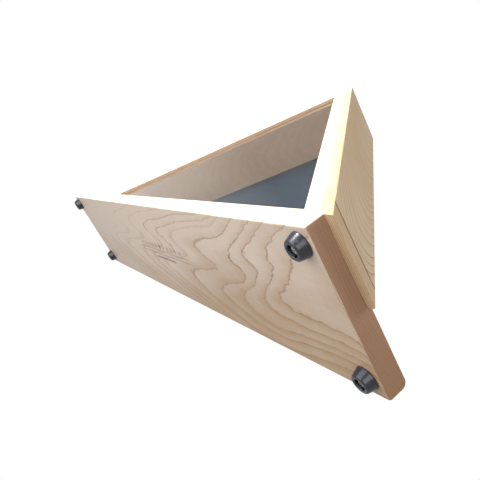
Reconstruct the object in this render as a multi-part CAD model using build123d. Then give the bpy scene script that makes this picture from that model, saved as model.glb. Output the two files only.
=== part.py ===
from build123d import *
import os
from math import radians, sqrt, tan

# Triangular glass-fronted display case standing on a longer wooden base board with four rubber feet.
# Millimetres. +Z is up, -Y is the glass front, +X is the end where the case reaches the base's end.
# The origin is at the bottom centre of the whole object's box, on the surface that it stands on.
# Case pieces are drawn in the case's own frame (apex over x = 0, front at y = 0, base top at z = 0),
# for the right-hand side, and then placed or mirrored by in_place.

# Driving dimensions
BASE_LENGTH = 648.0
BASE_DEPTH = 127.0
BASE_THICKNESS = 17.0
BASE_RIGHT_MARGIN = 22.0
OPENING_WIDTH = 413.0
BOARD_THICKNESS = 19.0
CASE_DEPTH = 63.5
CASE_SETBACK = 0.5
EASED_EDGE = 1.0
BASE_EDGE_RADIUS = 1.2
BASE_END_RADIUS = 1.1
BASE_BACK_TOP_RADIUS = 5.0
BACK_EDGE_RADIUS = 3.0
APEX_RADIUS = 6.5
WEDGE_ANGLE = 30.0
WEDGE_LIP = 3.2

FOOT_HEIGHT = 7.5
FOOT_TOP_RADIUS = 9.0
FOOT_TIP_RADIUS = 7.0
FOOT_RIM_RADIUS = 1.4
FOOT_END_INSET = 11.8
FOOT_FRONT_INSET = 12.6
FOOT_BACK_INSET = 15.4
FOOT_RECESS_RADIUS = 4.2
FOOT_RECESS_DEPTH = 4.3
FOOT_WASHER_RADIUS = 4.0
FOOT_HEAD_RADIUS = 3.0
FOOT_HEAD_HEIGHT = 1.9
FOOT_SCREW_DEPTH = 11.0

GLASS_THICKNESS = 2.5
GLASS_SETBACK = 3.0
GLASS_GROOVE_DEPTH = 4.0
GLASS_EDGE_COVER = 3.5
GLASS_BASE_COVER = 2.5
GLASS_PLAY = 0.2

FELT_THICKNESS = 1.0
FELT_MARGIN = 0.5
PANEL_THICKNESS = 6.0
PANEL_EDGE_COVER = 7.5
PANEL_GAP = 0.3
PANEL_BOTTOM_GAP = 0.4
RABBET_WIDTH = 8.0
PANE_END_GAP = 1.0

BUTTON_RADIUS = 4.2
BUTTON_REACH = 17.0
BUTTON_THICKNESS = 2.2
BUTTON_EDGE = 0.6
BUTTON_GAP = 0.15
BUTTON_LINE = 12.0
BUTTON_STATIONS = {"lower": 70.0, "upper": 215.0}
BUTTON_SCREW_DEPTH = 12.0
PAN_HEAD_RADIUS = 3.4
PAN_HEAD_HEIGHT = 2.2

SCREW_RADIUS = 1.5
PIVOT_PLAY = 0.05
WASHER_THICKNESS = 0.8
WASHER_RADIUS = 4.0
WASHER_PLAY = 0.1

DOWEL_RADIUS = 2.5
DOWEL_LINE = 7.0
DOWEL_IN_BOARD = 12.0
DOWEL_IN_BASE = 5.0
DOWEL_DEPTHS = (18.0, 42.0)

SPLINE_HALF_WIDTH = 8.0
SPLINE_THICKNESS = 3.0
SPLINE_HEIGHT = 8.5
SPLINE_FRONT = 12.0
SPLINE_LENGTH = 38.0

STRIP_SIZE = 8.0
STRIP_END_GAP = 2.0
KNOB_HEIGHT = 78.0
KNOB_RADIUS = 8.0
KNOB_LENGTH = 15.0
KNOB_NECK_RADIUS = 4.5
KNOB_NECK_LENGTH = 5.0
KNOB_ROUNDING = 3.5
KNOB_SCREW_GRIP = 9.0
FLAT_HEAD_RADIUS = 3.0
FLAT_HEAD_HEIGHT = 1.8

OVERRUN = 1.0

# Derived places
HALF_OPENING = OPENING_WIDTH / 2
WEDGE_REACH = BOARD_THICKNESS * sqrt(2)
TOTAL_LENGTH = BASE_LENGTH - BASE_RIGHT_MARGIN + WEDGE_REACH + WEDGE_LIP
CASE_X = TOTAL_LENGTH / 2 - HALF_OPENING - WEDGE_REACH - WEDGE_LIP
BASE_LEFT = -TOTAL_LENGTH / 2
BASE_RIGHT = BASE_LEFT + BASE_LENGTH
BASE_FRONT = -BASE_DEPTH / 2
BASE_BACK = BASE_DEPTH / 2
BASE_TOP = FOOT_HEIGHT + BASE_THICKNESS
CASE_FRONT = BASE_FRONT + CASE_SETBACK
GROOVE_WIDTH = GLASS_THICKNESS + GLASS_PLAY
PANEL_FRONT = CASE_DEPTH - PANEL_THICKNESS
FELT_FRONT = PANEL_FRONT - FELT_THICKNESS
RABBET_FRONT = FELT_FRONT - PANEL_GAP
BUTTON_FRONT = CASE_DEPTH + WASHER_THICKNESS + BUTTON_GAP
BUTTON_HEAD_SEAT = BUTTON_FRONT + BUTTON_THICKNESS + BUTTON_GAP
FOOT_HEAD_SEAT = FOOT_RECESS_DEPTH - WASHER_THICKNESS
UP_SLOPE = Vector(-1, 0, 1)
RIGHT_BOARD = Plane(origin=(HALF_OPENING, 0, 0), x_dir=(-1, 0, 1), z_dir=(1, 0, 1))
SIDES = {"left": -1, "right": 1}


def in_place(solid, side=1):
    """Bring a solid from the case's frame to the object's, mirrored when it belongs to the left side."""
    if side < 0:
        solid = mirror(solid, about=Plane.YZ)
    return Pos(CASE_X, CASE_FRONT, BASE_TOP) * solid


def block(x_range, y_range, z_range):
    """A box given by its lowest and highest value along each axis."""
    size = [high - low for low, high in (x_range, y_range, z_range)]
    return Pos(x_range[0], y_range[0], z_range[0]) * Box(*size, align=(Align.MIN, Align.MIN, Align.MIN))


def board_block(up_range, depth_range, out_range):
    """A box measured up the right board, back from the case's front and out from the board's inner face."""
    return RIGHT_BOARD * block(up_range, (-depth_range[1], -depth_range[0]), out_range)


def on_board(up, out, depth):
    """A point given by the same three measures as board_block."""
    return Vector(HALF_OPENING - up / sqrt(2) + out / sqrt(2), depth, up / sqrt(2) + out / sqrt(2))


def prism(points, y_front, thickness):
    """Extrude an outline of (x, z) points towards the back."""
    outline = make_face(Polyline(*[(x, y_front, z) for x, z in points], close=True))
    return extrude(outline, amount=thickness, dir=(0, 1, 0))


def pane_outline(cover, bottom):
    """A triangle that reaches cover into the sloping boards and stops short of the corner wedges."""
    corner = HALF_OPENING - PANE_END_GAP
    rise = (cover * sqrt(2) + PANE_END_GAP) / 2
    right = [(corner + max(bottom, 0), bottom), (corner + rise, rise)]
    if bottom < 0:
        right.insert(1, (corner, 0))
    left = [(-x, z) for x, z in reversed(right)]
    return right + [(0, HALF_OPENING + cover * sqrt(2))] + left


def rod(start, end, radius):
    """A round bar from one point to another."""
    axis = Vector(end) - Vector(start)
    return extrude(Plane(origin=start, z_dir=axis) * Circle(radius), amount=axis.length)


def drum(radius, bottom, top):
    """An upright cylinder between two heights."""
    return Pos(0, 0, (bottom + top) / 2) * Cylinder(radius, top - bottom)


def near(solid, edge):
    """The solid's edge whose middle lies closest to that of the given edge."""
    return solid.edges().sort_by(lambda other: (other.center() - edge.center()).length)[0]


def washer(outer, thickness):
    """A flat ring that fits a screw, with its lower face at z = 0."""
    ring = Cylinder(outer, thickness) - Cylinder(SCREW_RADIUS + WASHER_PLAY, thickness)
    return Pos(0, 0, thickness / 2) * ring


def pan_screw(head_radius, head_height, shank_length):
    """A pan-head screw, head upwards, with the underside of its head at z = 0."""
    head = Pos(0, 0, head_height / 2) * Cylinder(head_radius, head_height)
    head = fillet(head.edges().group_by(Axis.Z)[-1], head_height * 0.45)
    arm = Box(head_radius * 1.1, head_radius * 0.28, head_height)
    head -= Pos(0, 0, head_height) * (arm + Rot(0, 0, 90) * arm)
    shank = Pos(0, 0, -shank_length / 2) * Cylinder(SCREW_RADIUS, shank_length)
    shank = chamfer(shank.edges().group_by(Axis.Z)[0], SCREW_RADIUS * 0.6)
    return head + shank


def dowel_bars():
    """The two hidden dowels of the right lower corner, square to the board's end."""
    low = -DOWEL_LINE - DOWEL_IN_BASE
    bars = []
    for depth in DOWEL_DEPTHS:
        top_end = on_board(DOWEL_IN_BOARD, DOWEL_LINE, depth)
        bars.append(rod(top_end, on_board(low, DOWEL_LINE, depth), DOWEL_RADIUS))
    return bars


def foot_places():
    """Name and (x, y) of each foot in the object's frame."""
    places = {}
    for x_name, x in (("left", BASE_LEFT + FOOT_END_INSET), ("right", BASE_RIGHT - FOOT_END_INSET)):
        places["front_" + x_name] = (x, BASE_FRONT + FOOT_FRONT_INSET)
        places["back_" + x_name] = (x, BASE_BACK - FOOT_BACK_INSET)
    return places


def base_board():
    """The long plank, with a shallow groove for the glass and pilot holes for the feet and dowels."""
    board = block((BASE_LEFT, BASE_RIGHT), (BASE_FRONT, BASE_BACK), (FOOT_HEIGHT, BASE_TOP))
    long_edges = board.edges().filter_by(Axis.X).sort_by(lambda edge: edge.center().Z - edge.center().Y)
    radii = (BACK_EDGE_RADIUS, BASE_BACK_TOP_RADIUS, BASE_EDGE_RADIUS, BASE_EDGE_RADIUS)
    for edge, radius in zip(long_edges, radii):
        board = fillet(near(board, edge), radius)
    for end in board.faces().sort_by(Axis.X)[::len(board.faces()) - 1]:
        board = fillet([near(board, edge) for edge in end.edges()], BASE_END_RADIUS)
    groove = block((-HALF_OPENING, HALF_OPENING), (GLASS_SETBACK, GLASS_SETBACK + GROOVE_WIDTH),
                   (-GLASS_BASE_COVER, OVERRUN))
    board -= in_place(groove)
    for x, y in foot_places().values():
        board -= rod((x, y, FOOT_HEIGHT - OVERRUN), (x, y, FOOT_HEIGHT + FOOT_SCREW_DEPTH), SCREW_RADIUS)
    for side in SIDES.values():
        for bar in dowel_bars():
            board -= in_place(bar, side)
    return board


def apex_key():
    """The spline across the apex mitre, in the case's frame."""
    bottom = HALF_OPENING + SPLINE_HEIGHT
    return block((-SPLINE_HALF_WIDTH, SPLINE_HALF_WIDTH), (SPLINE_FRONT, SPLINE_FRONT + SPLINE_LENGTH),
                 (bottom, bottom + SPLINE_THICKNESS))


def apex_shaving():
    """What rounding takes off the sharp outer apex, in the case's frame."""
    apex = HALF_OPENING + WEDGE_REACH
    tangent = APEX_RADIUS / sqrt(2)
    triangle = [(-tangent, apex - tangent), (tangent, apex - tangent), (0, apex)]
    corner = prism(triangle, -OVERRUN, CASE_DEPTH + 2 * OVERRUN)
    centre = apex - APEX_RADIUS * sqrt(2)
    return corner - rod((0, -2 * OVERRUN, centre), (0, CASE_DEPTH + 2 * OVERRUN, centre), APEX_RADIUS)


def end_cut():
    """What the saw takes off below the right board's lower end, in the case's frame."""
    far = HALF_OPENING + 2 * WEDGE_REACH
    rise = (far - HALF_OPENING) * tan(radians(WEDGE_ANGLE))
    outline = [(HALF_OPENING, 0), (far, rise), (far, -far), (HALF_OPENING, -far)]
    return prism(outline, -OVERRUN, CASE_DEPTH + 2 * OVERRUN)


def eased_outside(solid):
    """Round the two outer long edges of a board or wedge, the back one more."""
    long_edges = solid.edges().filter_by(Axis((0, 0, 0), UP_SLOPE)).sort_by(Axis((0, 0, 0), (1, 0, 1)))
    front, back = sorted(long_edges[-2:], key=lambda edge: edge.center().Y)
    solid = fillet(front, EASED_EDGE)
    return fillet(near(solid, back), BACK_EDGE_RADIUS)


def side_board():
    """The right sloping board: bevelled lower end, mitred top, glass groove and panel rabbet."""
    length = HALF_OPENING * sqrt(2) + BOARD_THICKNESS
    board = eased_outside(board_block((-BOARD_THICKNESS, length), (0, CASE_DEPTH), (0, BOARD_THICKNESS)))
    board -= end_cut()
    board -= board_block((-OVERRUN, length), (GLASS_SETBACK, GLASS_SETBACK + GROOVE_WIDTH),
                         (-OVERRUN, GLASS_GROOVE_DEPTH))
    board -= board_block((-OVERRUN, length), (RABBET_FRONT, CASE_DEPTH + OVERRUN), (-OVERRUN, RABBET_WIDTH))
    board -= block((-length, 0), (-OVERRUN, CASE_DEPTH + OVERRUN), (0, 2 * length))
    board -= apex_key()
    board -= apex_shaving()
    for bar in dowel_bars():
        board -= bar
    for station in BUTTON_STATIONS.values():
        mouth = on_board(station, BUTTON_LINE, CASE_DEPTH + OVERRUN)
        board -= rod(mouth, on_board(station, BUTTON_LINE, CASE_DEPTH - BUTTON_SCREW_DEPTH), SCREW_RADIUS)
    return board


def corner_wedge(lip):
    """The right wedge strip below the board's bevelled end, with the dowel holes.

    A lip of the given height hangs over the base's end.
    """
    slant = tan(radians(WEDGE_ANGLE))
    outer_x = WEDGE_REACH / (1 + slant)
    outline = [(0, 0), (outer_x, outer_x * slant), (WEDGE_REACH + lip, -lip)]
    if lip > 0:
        outline += [(BASE_RIGHT_MARGIN, -lip), (BASE_RIGHT_MARGIN, 0)]
    wedge = eased_outside(prism([(HALF_OPENING + x, z) for x, z in outline], 0, CASE_DEPTH))
    for bar in dowel_bars():
        wedge -= bar
    return wedge


def glass_pane():
    """The triangular pane, standing in the base's groove."""
    return prism(pane_outline(GLASS_EDGE_COVER, -GLASS_BASE_COVER), GLASS_SETBACK, GLASS_THICKNESS)


def flat_screw():
    """The knob's countersunk screw, with its head's flat face at z = 0 and its tip upwards."""
    head = Pos(0, 0, FLAT_HEAD_HEIGHT / 2) * Cone(FLAT_HEAD_RADIUS, SCREW_RADIUS, FLAT_HEAD_HEIGHT)
    length = PANEL_THICKNESS + KNOB_SCREW_GRIP
    return head + Pos(0, 0, length / 2) * Cylinder(SCREW_RADIUS, length)


def knob_screw():
    """The flat screw in place, from the panel's inner face into the knob."""
    return Plane(origin=(0, PANEL_FRONT, KNOB_HEIGHT), x_dir=(1, 0, 0), z_dir=(0, 1, 0)) * flat_screw()


def pull_knob():
    """A turned knob on the back of the panel."""
    neck = Pos(0, 0, KNOB_NECK_LENGTH / 2) * Cylinder(KNOB_NECK_RADIUS, KNOB_NECK_LENGTH)
    head_length = KNOB_LENGTH - KNOB_NECK_LENGTH
    head = Pos(0, 0, KNOB_NECK_LENGTH + head_length / 2) * Cylinder(KNOB_RADIUS, head_length)
    head = fillet(head.edges().filter_by(GeomType.CIRCLE), KNOB_ROUNDING)
    place = Plane(origin=(0, CASE_DEPTH, KNOB_HEIGHT), x_dir=(1, 0, 0), z_dir=(0, 1, 0))
    return place * (neck + head) - knob_screw()


def back_panel():
    """The removable panel, countersunk on its inner face for the knob's screw."""
    outline = pane_outline(PANEL_EDGE_COVER, PANEL_BOTTOM_GAP)
    return prism(outline, PANEL_FRONT, PANEL_THICKNESS) - knob_screw()


def felt_lining():
    """The felt glued over the panel's inner face."""
    outline = pane_outline(PANEL_EDGE_COVER - FELT_MARGIN, PANEL_BOTTOM_GAP + FELT_MARGIN)
    return prism(outline, FELT_FRONT, FELT_THICKNESS)


def panel_stop_strip():
    """The strip on the base that the panel's lower edge stands against, cut to the boards' slope."""
    low = HALF_OPENING - STRIP_END_GAP
    high = low - STRIP_SIZE
    outline = [(-low, 0), (low, 0), (high, STRIP_SIZE), (-high, STRIP_SIZE)]
    return prism(outline, RABBET_FRONT - STRIP_SIZE, STRIP_SIZE)


def back_plane(station, depth):
    """A plane at a turn button's screw, facing backwards, with its x axis up the right board."""
    return Plane(origin=on_board(station, BUTTON_LINE, depth), x_dir=UP_SLOPE, z_dir=(0, 1, 0))


def turn_button(station):
    """A flat catch with round ends that turns about a screw through one end."""
    outline = Pos(BUTTON_REACH / 2, 0) * Rectangle(BUTTON_REACH, 2 * BUTTON_RADIUS)
    outline += Circle(BUTTON_RADIUS) + Pos(BUTTON_REACH, 0) * Circle(BUTTON_RADIUS)
    button = extrude(outline, amount=BUTTON_THICKNESS)
    button = fillet(button.edges().group_by(Axis.Z)[-1], BUTTON_EDGE)
    button -= Cylinder(SCREW_RADIUS + PIVOT_PLAY, 4 * BUTTON_THICKNESS)
    return back_plane(station, BUTTON_FRONT) * button


def turn_screw(station):
    """The screw that a turn button turns on."""
    shank = BUTTON_HEAD_SEAT - CASE_DEPTH + BUTTON_SCREW_DEPTH
    return back_plane(station, BUTTON_HEAD_SEAT) * pan_screw(PAN_HEAD_RADIUS, PAN_HEAD_HEIGHT, shank)


def turn_washer(station):
    """The spacer washer between a turn button and the board."""
    return back_plane(station, CASE_DEPTH) * washer(WASHER_RADIUS, WASHER_THICKNESS)


def foot():
    """A tapered bumper, standing at the origin, wide end up, with a recess for its screw head."""
    body = Pos(0, 0, FOOT_HEIGHT / 2) * Cone(FOOT_TIP_RADIUS, FOOT_TOP_RADIUS, FOOT_HEIGHT)
    body = fillet(body.edges().group_by(Axis.Z)[0], FOOT_RIM_RADIUS)
    body -= drum(FOOT_RECESS_RADIUS, -OVERRUN, FOOT_RECESS_DEPTH)
    body -= drum(SCREW_RADIUS + WASHER_PLAY, 0, FOOT_HEIGHT + OVERRUN)
    return body


def foot_screw():
    """The foot's screw, head downwards."""
    shank = FOOT_HEIGHT + FOOT_SCREW_DEPTH - FOOT_HEAD_SEAT
    screw = pan_screw(FOOT_HEAD_RADIUS, FOOT_HEAD_HEIGHT, shank)
    return Pos(0, 0, FOOT_HEAD_SEAT) * Rot(180, 0, 0) * screw


def foot_washer():
    """The washer between the foot's screw head and the rubber."""
    return Pos(0, 0, FOOT_HEAD_SEAT) * washer(FOOT_WASHER_RADIUS, WASHER_THICKNESS)


def all_nodes():
    """Every node's name and solid in the object's frame."""
    nodes = {
        "base_board": base_board(),
        "apex_spline": in_place(apex_key()),
        "glass_pane": in_place(glass_pane()),
        "back_panel": in_place(back_panel()),
        "felt_lining": in_place(felt_lining()),
        "panel_stop_strip": in_place(panel_stop_strip()),
        "pull_knob": in_place(pull_knob()),
        "knob_screw": in_place(knob_screw()),
    }
    for name, side in SIDES.items():
        nodes[name + "_side_board"] = in_place(side_board(), side)
        nodes[name + "_corner_wedge"] = in_place(corner_wedge(max(side, 0) * WEDGE_LIP), side)
        nodes[name + "_corner_dowels"] = Compound(children=[in_place(bar, side) for bar in dowel_bars()])
        for level, station in BUTTON_STATIONS.items():
            tail = "_" + level + "_" + name
            nodes["turn_button" + tail] = in_place(turn_button(station), side)
            nodes["turn_screw" + tail] = in_place(turn_screw(station), side)
            nodes["turn_washer" + tail] = in_place(turn_washer(station), side)
    for name, (x, y) in foot_places().items():
        nodes["foot_" + name] = Pos(x, y, 0) * foot()
        nodes["foot_screw_" + name] = Pos(x, y, 0) * foot_screw()
        nodes["foot_washer_" + name] = Pos(x, y, 0) * foot_washer()
    return nodes


os.makedirs("parts", exist_ok=True)
for node_name, node_solid in all_nodes().items():
    export_step(node_solid, "parts/" + node_name + ".step")
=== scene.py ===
import math

import bmesh
import bpy
from mathutils import Matrix, Vector, noise


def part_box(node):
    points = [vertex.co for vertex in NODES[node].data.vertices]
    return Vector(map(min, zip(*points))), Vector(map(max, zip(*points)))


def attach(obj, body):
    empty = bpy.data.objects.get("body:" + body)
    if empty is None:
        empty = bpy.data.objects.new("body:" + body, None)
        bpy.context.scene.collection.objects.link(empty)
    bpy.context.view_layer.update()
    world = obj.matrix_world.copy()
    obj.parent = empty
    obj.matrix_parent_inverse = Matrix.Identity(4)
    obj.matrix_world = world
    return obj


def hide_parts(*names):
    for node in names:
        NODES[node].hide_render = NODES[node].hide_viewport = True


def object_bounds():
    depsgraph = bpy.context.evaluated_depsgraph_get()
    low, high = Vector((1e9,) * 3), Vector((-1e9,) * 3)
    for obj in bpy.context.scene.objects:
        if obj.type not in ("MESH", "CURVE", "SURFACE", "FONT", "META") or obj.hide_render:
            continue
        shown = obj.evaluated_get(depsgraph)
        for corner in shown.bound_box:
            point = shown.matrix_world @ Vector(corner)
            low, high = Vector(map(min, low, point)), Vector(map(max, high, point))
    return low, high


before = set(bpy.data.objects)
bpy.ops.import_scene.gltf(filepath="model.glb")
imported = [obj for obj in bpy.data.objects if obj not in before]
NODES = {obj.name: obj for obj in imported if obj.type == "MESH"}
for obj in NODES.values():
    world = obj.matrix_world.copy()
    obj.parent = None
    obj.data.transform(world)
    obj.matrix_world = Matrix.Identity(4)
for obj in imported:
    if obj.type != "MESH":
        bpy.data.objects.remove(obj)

# Looks of the triangular glass-fronted display case. Metres, in the CAD frame: +Z up, -Y the glass front.

CAD_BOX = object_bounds()
MM = 0.001
SQRT_HALF = math.sqrt(0.5)

BASE_LOW, BASE_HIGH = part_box("base_board")
BASE_TOP = BASE_HIGH.z
CASE_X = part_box("right_side_board")[0].x

LEVEL = ((1, 0, 0), (0, 1, 0), (0, 0, 1))
FRONT_TO_BACK = ((0, 1, 0), (1, 0, 0), (0, 0, 1))

# The photograph's viewing angle: the camera stands in front of, beyond and below the base's right end.
CAMERA_OFFSET = Vector((0.2306, -0.1007, -0.1248))
VIEW_RIGHT = Vector((0.46218, 0.44854, 0.76499))
VIEW_FORWARD = Vector((-0.88146, 0.32678, 0.34094))
LENS, SENSOR_WIDTH = 39.59, 36.0
CLIP_START, CLIP_END = 0.01, 50.0

# Lamps: name, place from the object's centre, size in metres, power in watts, colour, and whether the lamp
# lights plain surfaces and shows in shiny ones.
LAMPS = (
    ("front", (-0.35, -2.35, 0.3), 1.3, 148, (1, 1, 1), True, False),
    ("glint", (-0.35, -2.35, 0.3), 0.35, 90, (1, 1, 1), False, True),
    ("below", (0.1, -0.62, -0.52), 0.8, 4.6, (1.0, 0.99, 0.99), True, True),
    ("right", (1.5, -0.7, -0.6), 1.0, 6, (1.0, 0.98, 0.95), True, True),
    ("upper", (1.2, -0.3, 1.4), 1.0, 12, (1.0, 0.99, 0.96), True, True),
)

# How strongly the surroundings light plain surfaces, show in reflections by height, and fill the view.
DIFFUSE_STRENGTH = 0.48
MIRROR_STRENGTH = {"From Min": 0.24, "From Max": 0.44, "To Min": 0.54, "To Max": 0.16}
BACKDROP_STRENGTH = 1.0
FLOOR_REACH = 3.0

# The burned ornament's middle and the spacing of its small diamonds, in mm.
ORNAMENT_X = 4.0
ORNAMENT_Y = -9.5
ORNAMENT_PITCH = 12.0

# The base's ring tips, in mm: where along the board their fork closes and how far they move to the front
# as it does, then the place and width of the ridge between them and the share of it that is lost.
FORK_CLOSES = (75, 225)
FORK_SHIFT = 38.0
RIDGE_Y, RIDGE_WIDTH = -14.0, 15.0
RIDGE_LOSS = 0.8

# How far end grain takes on its own tone, and how much painted shade darkens it with each metre towards the
# back.
END_SHARE = 0.86
END_PAINTED_SHADE = (0, -1.1, 0)

# The seam of a side board and its wedge, in mm: half widths of its dark core and its soft edge, and how far
# it wanders. The painted light that makes front faces paler fades out on the right board's front face
# between the two depths below its outer face, which leaves it warmer there.
SEAM_CORE, SEAM_EDGE, SEAM_WANDER = 0.4, 1.7, 3.0
FRONT_LIGHT_FADE_FROM, FRONT_LIGHT_FADE_TO = -15, -4


# ---------------------------------------------------------------- material building

class Graph:
    """A short way to write one procedural material."""

    def __init__(self, name):
        self.material = bpy.data.materials.new(name)
        self.material.use_nodes = True
        self.tree = self.material.node_tree
        self.tree.nodes.clear()
        self.output = self.node("ShaderNodeOutputMaterial")
        self.coords = self.node("ShaderNodeTexCoord")

    def node(self, kind, settings=None, **inputs):
        """Add a node; underscores in the names of inputs stand for spaces."""
        made = self.tree.nodes.new(kind)
        for key, value in (settings or {}).items():
            setattr(made, key, value)
        for key, value in inputs.items():
            self.feed(made.inputs[key.replace("_", " ")], value)
        return made

    def feed(self, socket, value):
        if isinstance(value, bpy.types.NodeSocket):
            self.tree.links.new(value, socket)
        else:
            socket.default_value = value

    def math(self, operation, first, second=0.0):
        made = self.node("ShaderNodeMath", {"operation": operation})
        self.feed(made.inputs[0], first)
        self.feed(made.inputs[1], second)
        return made.outputs[0]

    def add(self, *terms):
        total = terms[0]
        for term in terms[1:]:
            total = self.math("ADD", total, term)
        return total

    def times(self, first, second):
        return self.math("MULTIPLY", first, second)

    def remap(self, value, low, high, to_low=0.0, to_high=1.0):
        """Move a value smoothly from one range to another, held at both ends."""
        made = self.node("ShaderNodeMapRange", {"interpolation_type": "SMOOTHSTEP"})
        for socket, given in zip(made.inputs, (value, low, high, to_low, to_high)):
            self.feed(socket, given)
        return made.outputs[0]

    def dot(self, vector, axis):
        made = self.node("ShaderNodeVectorMath", {"operation": "DOT_PRODUCT"})
        self.feed(made.inputs[0], vector)
        made.inputs[1].default_value = axis
        return made.outputs["Value"]

    def combine(self, x, y, z):
        return self.node("ShaderNodeCombineXYZ", X=x, Y=y, Z=z).outputs[0]

    def noise(self, vector, scale=1.0, detail=2.0, roughness=0.5):
        made = self.node("ShaderNodeTexNoise", Vector=vector, Scale=scale, Detail=detail, Roughness=roughness)
        return made.outputs["Fac"]

    def blend(self, factor, first, second):
        made = self.node("ShaderNodeMix", {"data_type": "RGBA", "clamp_factor": True})
        self.feed(made.inputs[0], factor)
        self.feed(made.inputs[6], first)
        self.feed(made.inputs[7], second)
        return made.outputs[2]

    def bump(self, height, strength, distance):
        made = self.node("ShaderNodeBump", Height=height, Strength=strength, Distance=distance)
        return made.outputs[0]

    def mix(self, factor, first, second):
        """Mix two shader nodes."""
        mixed = self.node("ShaderNodeMixShader")
        for socket, given in zip(mixed.inputs, (factor, first.outputs[0], second.outputs[0])):
            self.feed(socket, given)
        return mixed

    def finish(self, shader):
        self.tree.links.new(shader.outputs[0], self.output.inputs["Surface"])
        return self.material

    def surface(self, plain, **inputs):
        """A principled shader; plain holds plain values of further sockets by name."""
        shader = self.node("ShaderNodeBsdfPrincipled", **inputs)
        for name, value in plain.items():
            shader.inputs[name].default_value = value
        return shader

    def principled(self, plain, **inputs):
        return self.finish(self.surface(plain, **inputs))


def srgb(red, green, blue):
    """A linear colour with alpha from display values of 0 to 255."""
    linear = [((c / 255 + 0.055) / 1.055) ** 2.4 if c > 10 else c / 255 / 12.92 for c in (red, green, blue)]
    return (*linear, 1.0)


# ---------------------------------------------------------------- wood

def wood(name, axes, colours, middle=(0, 0, 0), lean=0.03, bow=0.0024, ring=1.5, wave=0.9, jag=0.4,
         shift=0.0, width=0.05, gloss=0.38, skew=0.0, fork=0.0, contrast=0.75, toward=(0, 0, 0),
         fade=(-2, -1, 1, 1), marks=None):
    """Maple cut from one solid log, so that faces and end grain come from the same growth rings.

    axes are the board's own directions along, across and out; colours are the pale and warm tones, the ring
    lines and the end grain. middle is the point in mm that the rings are centred on and ring their spacing.
    The rings rise with lean along the board, bow up across it and turn with skew; wave and jag make them
    uneven over long and short ways. fork splits their tips in two by a ridge, which closes further along.
    width and contrast belong to the ring lines, and fade gives two places along the board in mm and how
    strong the lines are there. The colour turns warmer and darker toward a direction, partly the wood's own
    tone and partly painted shade, and marks draws on the finished tint.
    """
    along, across, out = axes
    pale, warm, line, end_tone = colours
    g = Graph(name)
    place, normal = g.coords.outputs["Object"], g.coords.outputs["Normal"]
    x = g.add(g.times(g.dot(place, along), 1000), -middle[0])
    y = g.add(g.times(g.dot(place, across), 1000), -middle[1], g.times(x, -skew))
    z = g.add(g.times(g.dot(place, out), 1000), -middle[2])

    def patches(size, offset=None, **settings):
        """Noise in patches of this size in mm along, across and out of the board."""
        parts = [g.times(value, 1 / length) for value, length in zip((x, y, z), size)]
        if offset is not None:
            parts[2] = g.add(parts[2], offset)
        return g.noise(g.combine(*parts), **settings)

    slow = patches((110, 38, 60), shift, detail=1.0)
    fine = patches((10, 6, 25), shift + 5, detail=4.0, roughness=0.68)
    closing = g.remap(x, *FORK_CLOSES) if fork else 0.0
    off = g.add(y, g.times(closing, FORK_SHIFT))
    reach = g.times(g.add(off, -RIDGE_Y), 1 / RIDGE_WIDTH)
    bell = g.math("EXPONENT", g.times(g.times(reach, reach), -1.0))
    ridge = g.times(bell, g.add(-fork, g.times(closing, fork * RIDGE_LOSS)))
    height = g.add(z, g.times(x, lean), g.times(g.times(off, off), -bow), ridge,
                   g.times(g.add(slow, -0.5), 2 * wave), g.times(g.add(fine, -0.5), jag))
    uneven = g.noise(g.combine(g.times(height, 0.3), shift, 0.0), detail=0.0)
    phase = g.add(g.times(height, 1 / ring), g.times(uneven, 1.4))
    part = g.math("FRACT", phase)
    chance = g.node("ShaderNodeTexWhiteNoise", {"noise_dimensions": "1D"},
                    W=g.math("FLOOR", g.add(phase, 0.5))).outputs["Value"]
    end_face = g.times(g.remap(g.math("ABSOLUTE", g.dot(normal, along)), 0.75, 0.97), END_SHARE)
    edge = g.times(g.math("MINIMUM", part, g.add(1.0, g.times(part, -1.0))), ring)
    stroke = g.remap(g.math("DIVIDE", edge, g.add(width, g.times(end_face, 0.2))), 0.1, 1.0, 1.0, 0.0)
    late = g.remap(part, 0.35, 1.0, 0.0, 1.0)
    clouds = patches((150, 55, 90), shift + 9, detail=3.0)
    stroke = g.times(g.times(stroke, g.add(0.35, g.times(chance, 0.65))), g.remap(x, *fade))
    stroke = g.times(stroke, g.remap(clouds, 0.42, 0.60, 1.0, 0.6))
    fibre = patches((26, 0.7, 0.7), detail=3.0, roughness=0.65)
    pores = patches((3.2, 0.22, 0.22), detail=1.0)
    figure = patches((8, 30, 30), detail=2.0)

    # Warmer wood and painted shade: the tone turns warmer and darker along the direction given by toward.
    tint_and_shade_drift = g.dot(place, toward)
    ripeness_and_shade = g.add(g.times(late, 0.30), g.times(g.add(clouds, -0.42), 1.4), tint_and_shade_drift)
    tone = g.blend(ripeness_and_shade, pale, warm)
    tone = g.blend(g.times(stroke, contrast), tone, line)
    end_colour = g.blend(g.times(stroke, 0.8), end_tone, g.blend(0.7, end_tone, line))
    tone = g.blend(end_face, tone, end_colour)
    speck = g.remap(pores, 0.60, 0.74, 0.0, 0.16)
    # The last term is painted shade: end grain gets darker towards the back.
    value = g.add(1.0, g.times(g.add(fibre, -0.5), 0.22), g.times(g.add(figure, -0.5), 0.10),
                  g.times(speck, -1.0), g.times(end_face, g.dot(place, END_PAINTED_SHADE)))
    tint = g.node("ShaderNodeHueSaturation", Color=tone, Value=value).outputs[0]
    if marks is not None:
        tint = marks(g, tint, place, normal)
    relief = g.add(g.times(fibre, 0.6), g.times(speck, -1.6), g.times(stroke, -0.3))
    rough = g.add(gloss, g.times(g.add(fibre, -0.5), 0.16), g.times(end_face, 0.22))
    return g.principled({"Coat Weight": 0.10, "Coat Roughness": 0.30, "Specular IOR Level": 0.40},
                        Base_Color=tint, Roughness=rough, Normal=g.bump(relief, 0.35, 0.00012))


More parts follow.
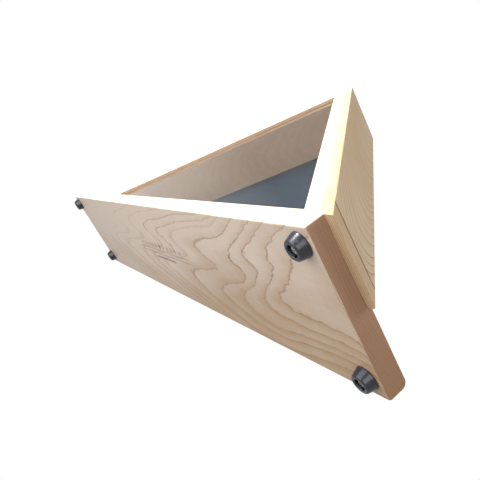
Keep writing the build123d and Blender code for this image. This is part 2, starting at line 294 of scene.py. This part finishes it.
def burned_ornament(g, colour, place, normal):
    """A generic burned ornament under the base: a row of diamonds, two long rules and a short bar."""
    x = g.add(g.times(g.dot(place, (1, 0, 0)), 1000), -ORNAMENT_X)
    y = g.times(g.dot(place, (0, 1, 0)), 1000)

    def distance(value, centre):
        return g.math("ABSOLUTE", g.add(value, -centre))

    def bar(centre, half_length, half_width, strength):
        across = g.remap(distance(y, centre), half_width * 0.6, half_width * 1.4, strength, 0.0)
        return g.times(across, g.remap(distance(x, 0.0), half_length - 2, half_length, 1.0, 0.0))

    def diamonds(offset, size):
        slanted = g.add(offset, g.times(distance(y, ORNAMENT_Y), 0.8))
        return g.remap(slanted, size * 0.7, size, 1.0, 0.0)

    repeated = g.math("PINGPONG", g.add(x, ORNAMENT_PITCH * 20), ORNAMENT_PITCH / 2)
    small = g.times(diamonds(repeated, 3.0), g.remap(distance(x, 0.0), 65, 66, 0.8, 0.0))
    mask = g.math("MAXIMUM", small, diamonds(distance(x, 0.0), 4.4))
    for shape in (bar(-3.6, 76, 0.6, 0.65), bar(1.5, 76, 0.6, 0.65), bar(6.7, 30, 1.2, 1.0)):
        mask = g.math("MAXIMUM", mask, shape)
    under = g.remap(g.dot(normal, (0, 0, -1)), 0.8, 0.95)
    grain = g.noise(g.combine(g.times(x, 1 / 4), g.times(y, 1 / 0.8), 0.0), detail=2.0)
    strength = g.times(g.times(mask, under), g.remap(grain, 0.3, 0.6, 0.35, 0.85))
    return g.blend(strength, colour, srgb(52, 32, 20))


def base_maple():
    """The base's ring tips fork and close again further right. Towards the right and the back the base turns
    warmer and darker, partly its own tone and partly painted shade.
    """
    tones = srgb(214, 196, 179), srgb(178, 145, 106), srgb(142, 92, 60), srgb(156, 116, 88)
    return wood("maple_base", LEVEL, tones, middle=(94, 4, 0), bow=0.0015, skew=0.06, fork=2.6, wave=0.7,
                jag=0.8, width=0.11, contrast=0.85, toward=(1.4, 8.0, 0), fade=(-300, -10, 0.3, 1.0),
                marks=burned_ornament)


def glue_line_and_painted_front_light(side):
    """A dark, slightly ragged line where a side board's bevelled end meets its wedge.

    Front faces get painted light, a paler tint standing in for the strong front lamp that fades towards the
    right board's outer edge, with warm blotches low down towards that edge.
    """
    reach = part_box("left_corner_wedge")[1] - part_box("left_corner_wedge")[0]
    bevel = math.atan2(reach.z, reach.x - reach.z)
    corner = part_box("right_corner_wedge")[0].x if side > 0 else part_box("left_corner_wedge")[1].x
    across_joint = (-side * math.sin(bevel), 0, math.cos(bevel))
    outer = (side * CASE_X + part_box("right_side_board")[1].z) * SQRT_HALF * 1000
    start = (-side * math.sin(bevel) * corner + math.cos(bevel) * BASE_TOP) * 1000

    def marks(g, colour, place, normal):
        away = g.math("ABSOLUTE", g.add(g.times(g.dot(place, across_joint), 1000), -start))
        ragged = g.noise(place, scale=95, detail=5.0, roughness=0.75)
        wander = g.times(g.add(ragged, -0.5), -SEAM_WANDER)
        line = g.remap(g.add(away, wander), SEAM_CORE, SEAM_EDGE, 0.9, 0.0)
        front = g.remap(g.dot(normal, (0, -1, 0)), 0.3, 0.8)
        depth = g.add(g.times(g.dot(place, (side * SQRT_HALF, 0, SQRT_HALF)), 1000), -outer)
        # Front faces are blended paler: painted light for the strong front lamp, fading out near the right
        # board's outer face.
        pale = 0.75 if side < 0 else g.remap(depth, FRONT_LIGHT_FADE_FROM, FRONT_LIGHT_FADE_TO, 0.75, 0.06)
        colour = g.blend(g.times(front, pale), colour, srgb(226, 214, 200))
        if side > 0:
            blotch = g.noise(place, scale=55, detail=3.0, roughness=0.6)
            low = g.dot(place, (0, 0, -3.0))
            toasted = g.remap(g.add(g.times(depth, 0.05), blotch, low), -0.10, 0.34, 0.0, 0.75)
            colour = g.blend(g.times(front, toasted), colour, srgb(202, 164, 120))
        return g.blend(g.times(line, g.add(1.0, g.times(front, -1.0))), colour, srgb(104, 72, 44))

    return marks


def board_maple(side):
    """The side boards' rings open upwards from tips near their lower ends; the left board's are fainter."""
    axes = (-side * SQRT_HALF, 0, SQRT_HALF), (0, 1, 0), (side * SQRT_HALF, 0, SQRT_HALF)
    tones = srgb(211, 188, 156), srgb(190, 157, 116), srgb(138, 90, 54), srgb(160, 124, 96)
    name, contrast = "maple_board_right", 0.95
    if side < 0:
        tones = srgb(202, 170, 143), srgb(180, 144, 114), srgb(136, 94, 70), srgb(160, 124, 96)
        name, contrast = "maple_board_left", 0.10
    return wood(name, axes, tones, middle=(40 * side, -25, 0), lean=0.10, bow=0.0040, ring=1.3, wave=0.7,
                jag=0.22, shift=20 + 7 * side, width=0.10, contrast=contrast, marks=glue_line_and_painted_front_light(side))


def wedge_maple(side):
    """The wedges' grain runs along the strip, from front to back."""
    # The pale end-grain tone is painted light: it keeps the wedges' front faces as white as the brightly lit
    # board fronts.
    tones = srgb(212, 184, 148), srgb(180, 144, 106), srgb(120, 82, 54), srgb(212, 190, 160)
    return wood("maple_wedge_" + ("right" if side > 0 else "left"), FRONT_TO_BACK, tones, 
                middle=(0, 200 * side, 40), lean=0.02, bow=0.0022, ring=1.1, wave=0.5, jag=0.25,
                shift=41 + side, width=0.16, contrast=1.0, marks=glue_line_and_painted_front_light(side))


def strip_maple():
    tones = srgb(208, 188, 162), srgb(190, 160, 130), srgb(140, 104, 76), srgb(168, 130, 100)
    return wood("maple_strip", LEVEL, tones, middle=(0, 10, 0), lean=0.02, bow=0.004, ring=1.2, shift=63)


def knob_maple():
    tones = srgb(206, 178, 144), srgb(190, 154, 118), srgb(140, 102, 74), srgb(184, 150, 118)
    return wood("maple_knob", FRONT_TO_BACK, tones, middle=(0, 60, 60), lean=0.03, bow=0.004, ring=1.1,
                wave=0.3, jag=0.2, shift=77, gloss=0.3)


def hidden_beech():
    """The spline and the dowels, which the glued boards cover."""
    axes = (SQRT_HALF, 0, SQRT_HALF), (0, 1, 0), (-SQRT_HALF, 0, SQRT_HALF)
    tones = srgb(214, 182, 146), srgb(200, 160, 122), srgb(160, 118, 86), srgb(190, 152, 118)
    return wood("beech_unfinished", axes, tones, middle=(0, 20, 0), bow=0.006, ring=1.2, wave=0.3, jag=0.2,
                shift=90, gloss=0.62)


# ---------------------------------------------------------------- other materials

def hardboard():
    g = Graph("hardboard")
    place = g.coords.outputs["Object"]
    fleck = g.noise(place, scale=900, detail=3.0, roughness=0.7)
    blot = g.noise(place, scale=22, detail=3.0)
    tone = g.blend(g.remap(fleck, 0.35, 0.68), srgb(112, 84, 62), srgb(152, 118, 88))
    tone = g.blend(g.times(blot, 0.45), tone, srgb(104, 78, 58))
    return g.principled({}, Base_Color=tone, Roughness=g.remap(fleck, 0.3, 0.7, 0.5, 0.66),
                        Normal=g.bump(fleck, 0.3, 0.00015))


def felt():
    g = Graph("slate_felt")
    place = g.coords.outputs["Object"]
    tuft = g.noise(place, scale=1400, detail=3.0, roughness=0.75)
    nap = g.noise(place, scale=34, detail=4.0, roughness=0.6)
    lint = g.remap(g.noise(place, scale=620, detail=0.0), 0.76, 0.82)
    tone = g.blend(tuft, srgb(15, 20, 27), srgb(38, 47, 58))
    tone = g.blend(g.remap(nap, 0.35, 0.75, 0.0, 0.45), tone, srgb(34, 42, 52))
    tone = g.blend(g.times(lint, 0.25), tone, srgb(110, 118, 126))
    height = g.add(g.times(tuft, 0.8), g.times(nap, 0.3))
    return g.principled({"Sheen Weight": 0.02, "Sheen Roughness": 0.6, "Specular IOR Level": 0.05},
                        Base_Color=tone, Roughness=g.remap(tuft, 0.2, 0.8, 0.86, 1.0),
                        Normal=g.bump(height, 0.7, 0.0004))


def pane_glass():
    """Clean glass with faint smears, which keeps back part of the light that falls through it."""
    g = Graph("float_glass")
    place = g.coords.outputs["Object"]
    smear = g.noise(g.combine(g.times(g.dot(place, (1, 0, 0)), 9), 0.0, g.times(g.dot(place, (0, 0, 1)), 14)),
                    detail=4.0, roughness=0.6)
    glass = g.surface({"Transmission Weight": 1.0, "IOR": 1.5}, Base_Color=(0.82, 0.86, 0.88, 1.0),
                      Roughness=g.remap(smear, 0.5, 0.8, 0.0, 0.035))
    open_glass = g.node("ShaderNodeBsdfTransparent", Color=(0.71, 0.73, 0.725, 1.0))
    lamp_ray = g.node("ShaderNodeLightPath").outputs["Is Shadow Ray"]
    return g.finish(g.mix(lamp_ray, glass, open_glass))


def rubber():
    g = Graph("black_rubber")
    place = g.coords.outputs["Object"]
    grain = g.noise(place, scale=2600, detail=2.0, roughness=0.6)
    dust = g.remap(g.noise(place, scale=240, detail=4.0), 0.55, 0.78)
    tone = g.blend(g.times(dust, 0.22), srgb(17, 19, 26), srgb(74, 78, 88))
    plain = {"Specular IOR Level": 0.75, "Coat Weight": 0.5, "Coat Roughness": 0.22,
             "Coat Tint": srgb(214, 226, 246)}
    return g.principled(plain, Base_Color=tone, Roughness=g.remap(dust, 0.0, 1.0, 0.27, 0.5),
                        Normal=g.bump(grain, 0.25, 0.00005))


def metal(name, bright, dull, rough_low, rough_high):
    """Lightly brushed metal with duller stains."""
    g = Graph(name)
    place = g.coords.outputs["Object"]
    stain = g.noise(place, scale=520, detail=4.0, roughness=0.65)
    hair = g.noise(g.combine(g.times(g.dot(place, (1, 0, 0)), 6000), g.times(g.dot(place, (0, 1, 0)), 500),
                             g.times(g.dot(place, (0, 0, 1)), 500)), detail=2.0)
    tone = g.blend(g.remap(stain, 0.4, 0.75, 0.0, 0.8), bright, dull)
    return g.principled({"Metallic": 1.0}, Base_Color=tone,
                        Roughness=g.remap(stain, 0.3, 0.8, rough_low, rough_high),
                        Normal=g.bump(hair, 0.12, 0.00004))


# ---------------------------------------------------------------- mesh building

ON_AXIS = 1e-9      # below this radius in metres an outline's point lies on the axis
MERGE = 1e-6        # vertices closer than this in metres become one

# The felt's grid, and in metres how far its front sinks: everywhere, at the cut edges, and with the nap.
FELT_ROWS = 72
FELT_SINK, FELT_EDGE, FELT_NAP = 0.12 * MM, 0.30 * MM, 0.10 * MM
FELT_NAP_SCALE = 60


def piece(name, mesh_data, body, material, replaced):
    """Put a finished mesh on a body, standing for the named CAD nodes."""
    made = bpy.data.objects.new(name, mesh_data)
    bpy.context.scene.collection.objects.link(made)
    made.data.materials.append(material)
    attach(made, body)
    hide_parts(*replaced)
    return made


def to_mesh(name, shape, sharp_degrees):
    """Turn a bmesh into a smooth-shaded mesh whose edges stay sharp above an angle."""
    bmesh.ops.recalc_face_normals(shape, faces=shape.faces)
    data = bpy.data.meshes.new(name)
    shape.to_mesh(data)
    shape.free()
    data.polygons.foreach_set("use_smooth", [True] * len(data.polygons))
    data.set_sharp_from_angle(angle=math.radians(sharp_degrees))
    return data


def rounded(corners, steps):
    """Replace each (radius, height, rounding) corner by an arc that touches both of its sides."""
    points = []
    for i, (r, z, rounding) in enumerate(corners):
        here = Vector((r, z))
        if rounding == 0 or i in (0, len(corners) - 1):
            points.append(here)
            continue
        before = (Vector(corners[i - 1][:2]) - here).normalized()
        after = (Vector(corners[i + 1][:2]) - here).normalized()
        half = before.angle(after) / 2
        start = here + before * rounding / math.tan(half)
        end = here + after * rounding / math.tan(half)
        centre = here + (before + after).normalized() * rounding / math.sin(half)
        for step in range(steps + 1):
            blend = start.lerp(end, step / steps) - centre
            points.append(centre + blend.normalized() * rounding)
    return points


def lathe(points, segments=96):
    """Turn an outline of (radius, height) points, from axis to axis or closed on itself, about Z."""
    shape = bmesh.new()
    rings = []
    for r, z in points:
        if r < ON_AXIS:
            rings.append([shape.verts.new((0, 0, z))])
            continue
        angles = [2 * math.pi * k / segments for k in range(segments)]
        rings.append([shape.verts.new((r * math.cos(a), r * math.sin(a), z)) for a in angles])
    if len(rings[0]) > 1:
        rings.append(rings[0])
    for lower, upper in zip(rings, rings[1:]):
        for k in range(segments):
            corners = [lower[k % len(lower)], lower[(k + 1) % len(lower)],
                       upper[(k + 1) % len(upper)], upper[k % len(upper)]]
            shape.faces.new(list(dict.fromkeys(corners)))
    return shape


def box_centre(node):
    low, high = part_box(node)
    return (low + high) / 2


def foot_piece(corner, material):
    """A moulded rubber bumper: tapered wall, rolled rim, stepped recess and a screw hole."""
    node = "foot_" + corner
    low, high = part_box(node)
    top_radius = (high.x - low.x) / 2
    height = high.z - low.z
    hole, recess, recess_depth = 1.6 * MM, 4.2 * MM, 4.3 * MM
    outline = [
        (hole, height, 0.0),
        (top_radius, height, 0.35 * MM),
        (top_radius - 0.10 * MM, height - 0.9 * MM, 0.3 * MM),
        (0.78 * top_radius, 0.0, 1.5 * MM),
        (recess, 0.0, 0.7 * MM),
        (recess - 0.05 * MM, recess_depth, 0.25 * MM),
        (hole, recess_depth, 0.0),
    ]
    shape = lathe(rounded(outline, 8))
    centre = box_centre(node)
    bmesh.ops.translate(shape, verts=shape.verts, vec=(centre.x, centre.y, low.z))
    piece("rubber_foot_" + corner, to_mesh(node, shape, 50), "case", material, [node])


def knob_piece(material):
    """The turned knob: a waisted neck, a cove under the head and a domed face with a turned line."""
    low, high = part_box("pull_knob")
    length, radius = high.y - low.y, (high.x - low.x) / 2
    outline = [
        (0.0, 0.0, 0.0),
        (0.62 * radius, 0.0, 0.3 * MM),
        (0.60 * radius, 0.10 * length, 0.5 * MM),
        (0.46 * radius, 0.24 * length, 2.0 * MM),
        (0.60 * radius, 0.40 * length, 1.2 * MM),
        (radius, 0.52 * length, 1.4 * MM),
        (radius, 0.80 * length, 1.8 * MM),
        (0.66 * radius, 0.955 * length, 1.0 * MM),
        (0.60 * radius, 0.935 * length, 0.2 * MM),
        (0.54 * radius, 0.965 * length, 0.6 * MM),
        (0.0, length, 0.0),
    ]
    shape = lathe(rounded(outline, 6))
    turn = Matrix.Rotation(math.radians(-90), 4, "X")
    centre = box_centre("pull_knob")
    move = Matrix.Translation((centre.x, low.y, centre.z))
    bmesh.ops.transform(shape, matrix=move @ turn, verts=shape.verts)
    piece("turned_knob", to_mesh("turned_knob", shape, 40), "back_panel_assembly", material,
          ["pull_knob"])


def felt_piece(material):
    """The felt sheet: a fine triangular grid with a softly uneven nap, thinner along its cut edges."""
    low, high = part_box("felt_lining")
    middle = (low.x + high.x) / 2
    half = (high.x - low.x) / 2
    tall = high.z - low.z
    rows = FELT_ROWS
    shape = bmesh.new()
    faces_of = {}
    for face, y in (("front", low.y), ("back", high.y)):
        grid = []
        for row in range(rows + 1):
            up = row / rows
            reach = half * (1 - up)
            count = 2 * (rows - row)
            line = []
            for k in range(count + 1):
                x = middle + (reach * (2 * k / count - 1) if count else 0.0)
                point = Vector((x, y, low.z + tall * up))
                if face == "front":
                    edge = min(k, count - k, row * 2) / 2
                    soften = FELT_EDGE * math.exp(-edge)
                    nap = noise.fractal(point * FELT_NAP_SCALE, 0.9, 2.1, 3) * FELT_NAP
                    point.y += soften + FELT_SINK + nap
                line.append(shape.verts.new(point))
            grid.append(line)
        faces_of[face] = grid
        for row in range(rows):
            lower, upper = grid[row], grid[row + 1]
            for k in range(len(upper) - 1):
                shape.faces.new((lower[k], lower[k + 1], upper[k]))
                shape.faces.new((lower[k + 1], upper[k + 1], upper[k]))
            last = len(upper) - 1
            shape.faces.new((lower[last], lower[last + 1], upper[last]))
            shape.faces.new((lower[last + 1], lower[last + 2], upper[last]))
    front, back = faces_of["front"], faces_of["back"]
    rims = [([line[0] for line in front], [line[0] for line in back]),
            ([line[-1] for line in front], [line[-1] for line in back]),
            (front[0], back[0])]
    for near_rim, far_rim in rims:
        for k in range(len(near_rim) - 1):
            shape.faces.new((near_rim[k], near_rim[k + 1], far_rim[k + 1], far_rim[k]))
    bmesh.ops.remove_doubles(shape, verts=shape.verts, dist=MERGE)
    made = piece("felt_sheet", to_mesh("felt_sheet", shape, 60), "back_panel_assembly", material,
                 ["felt_lining"])


# ---------------------------------------------------------------- dressing the CAD nodes

def dress(materials):
    """Give every CAD node its material."""
    for name, node in NODES.items():
        node.data.materials.clear()
        node.data.materials.append(materials[name])


def node_materials():
    """The material of every CAD node by its name."""
    steel = metal("zinc_steel", srgb(226, 226, 222), srgb(160, 160, 156), 0.22, 0.42)
    brass = metal("satin_brass", srgb(222, 190, 118), srgb(150, 116, 62), 0.24, 0.46)
    black, plain_beech = rubber(), hidden_beech()
    chosen = {
        "base_board": base_maple(),
        "left_side_board": board_maple(-1),
        "right_side_board": board_maple(1),
        "left_corner_wedge": wedge_maple(-1),
        "right_corner_wedge": wedge_maple(1),
        "panel_stop_strip": strip_maple(),
        "pull_knob": knob_maple(),
        "glass_pane": pane_glass(),
        "back_panel": hardboard(),
        "felt_lining": felt(),
    }
    for name in NODES:
        if name in chosen:
            continue
        if name.startswith(("foot_screw", "foot_washer", "knob_screw")):
            chosen[name] = steel
        elif name.startswith("foot_"):
            chosen[name] = black
        elif name.startswith("turn_"):
            chosen[name] = brass
        else:
            chosen[name] = plain_beech
    return chosen


# ---------------------------------------------------------------- stage, light and camera

def one_sided_floor():
    """A pale floor that shows from above and lets a camera below it look through."""
    shape = bmesh.new()
    corners = [(x * FLOOR_REACH, y * FLOOR_REACH, 0) for x, y in ((-1, -1), (1, -1), (1, 1), (-1, 1))]
    shape.faces.new([shape.verts.new(corner) for corner in corners])
    data = bpy.data.meshes.new("floor")
    shape.to_mesh(data)
    shape.free()
    floor = bpy.data.objects.new("floor", data)
    bpy.context.scene.collection.objects.link(floor)
    g = Graph("floor_paper")
    tone = g.noise(g.coords.outputs["Object"], scale=3.0, detail=2.0)
    paper = g.node("ShaderNodeBsdfDiffuse", Color=g.blend(tone, srgb(238, 237, 235), srgb(245, 244, 242)))
    clear = g.node("ShaderNodeBsdfTransparent")
    behind = g.node("ShaderNodeNewGeometry").outputs["Backfacing"]
    data.materials.append(g.finish(g.mix(behind, paper, clear)))
    for ray in ("shadow", "diffuse", "glossy", "transmission"):
        setattr(floor, "visible_" + ray, False)


def area_light(name, place, target, size, power, colour, matt, glossy):
    """A square lamp; matt and glossy say whether it lights plain surfaces and shows in shiny ones."""
    lamp = bpy.data.lights.new(name, "AREA")
    lamp.shape, lamp.size, lamp.energy, lamp.color = "SQUARE", size, power, colour
    holder = bpy.data.objects.new(name, lamp)
    holder.location = place
    holder.rotation_mode = "QUATERNION"
    holder.rotation_quaternion = (Vector(target) - Vector(place)).to_track_quat("-Z", "Y")
    holder.visible_diffuse, holder.visible_glossy = matt, glossy
    bpy.context.scene.collection.objects.link(holder)


def studio():
    """White surroundings, even for diffuse light and dimmer high up in reflections, and the lamps."""
    world = bpy.data.worlds.new("studio")
    bpy.context.scene.world = world
    world.use_nodes = True
    tree = world.node_tree
    tree.nodes.clear()
    ray = tree.nodes.new("ShaderNodeLightPath")
    split = tree.nodes.new("ShaderNodeSeparateXYZ")
    tree.links.new(tree.nodes.new("ShaderNodeTexCoord").outputs["Generated"], split.inputs[0])
    mirror = tree.nodes.new("ShaderNodeMapRange")
    tree.links.new(split.outputs["Z"], mirror.inputs["Value"])
    for name, value in MIRROR_STRENGTH.items():
        mirror.inputs[name].default_value = value
    through = tree.nodes.new("ShaderNodeMath")
    through.operation = "MAXIMUM"
    tree.links.new(ray.outputs["Is Glossy Ray"], through.inputs[0])
    tree.links.new(ray.outputs["Is Transmission Ray"], through.inputs[1])
    seen = tree.nodes.new("ShaderNodeMix")
    seen.inputs[2].default_value = DIFFUSE_STRENGTH
    tree.links.new(through.outputs[0], seen.inputs[0])
    tree.links.new(mirror.outputs[0], seen.inputs[3])
    strength = tree.nodes.new("ShaderNodeMix")
    strength.inputs[3].default_value = BACKDROP_STRENGTH
    tree.links.new(ray.outputs["Is Camera Ray"], strength.inputs[0])
    tree.links.new(seen.outputs[0], strength.inputs[2])
    background = tree.nodes.new("ShaderNodeBackground")
    background.inputs["Color"].default_value = (1, 1, 1, 1)
    tree.links.new(strength.outputs[0], background.inputs["Strength"])
    output = tree.nodes.new("ShaderNodeOutputWorld")
    tree.links.new(background.outputs[0], output.inputs["Surface"])
    centre = (CAD_BOX[0] + CAD_BOX[1]) / 2
    for name, offset, size, power, colour, matt, glossy in LAMPS:
        area_light(name, centre + Vector(offset), centre, size, power, colour, matt, glossy)


def photo_camera():
    """The photograph's camera, placed from the base's lower front right corner."""
    corner = Vector((BASE_HIGH.x, BASE_LOW.y, BASE_LOW.z))
    right = VIEW_RIGHT.normalized()
    back = -VIEW_FORWARD.normalized()
    up = back.cross(right).normalized()
    right = up.cross(back)
    pose = Matrix((right, up, back)).transposed().to_4x4()
    pose.translation = corner + CAMERA_OFFSET
    data = bpy.data.cameras.new("photo_camera")
    data.lens, data.sensor_width = LENS, SENSOR_WIDTH
    data.clip_start, data.clip_end = CLIP_START, CLIP_END
    camera = bpy.data.objects.new("photo_camera", data)
    bpy.context.scene.collection.objects.link(camera)
    camera.matrix_world = pose
    bpy.context.scene.camera = camera


MATERIALS = node_materials()
dress(MATERIALS)
for foot_corner in ("front_left", "front_right", "back_left", "back_right"):
    foot_piece(foot_corner, MATERIALS["foot_front_left"])
knob_piece(MATERIALS["pull_knob"])
felt_piece(MATERIALS["felt_lining"])
one_sided_floor()
studio()
photo_camera()
bpy.context.scene.view_settings.view_transform = "Standard"
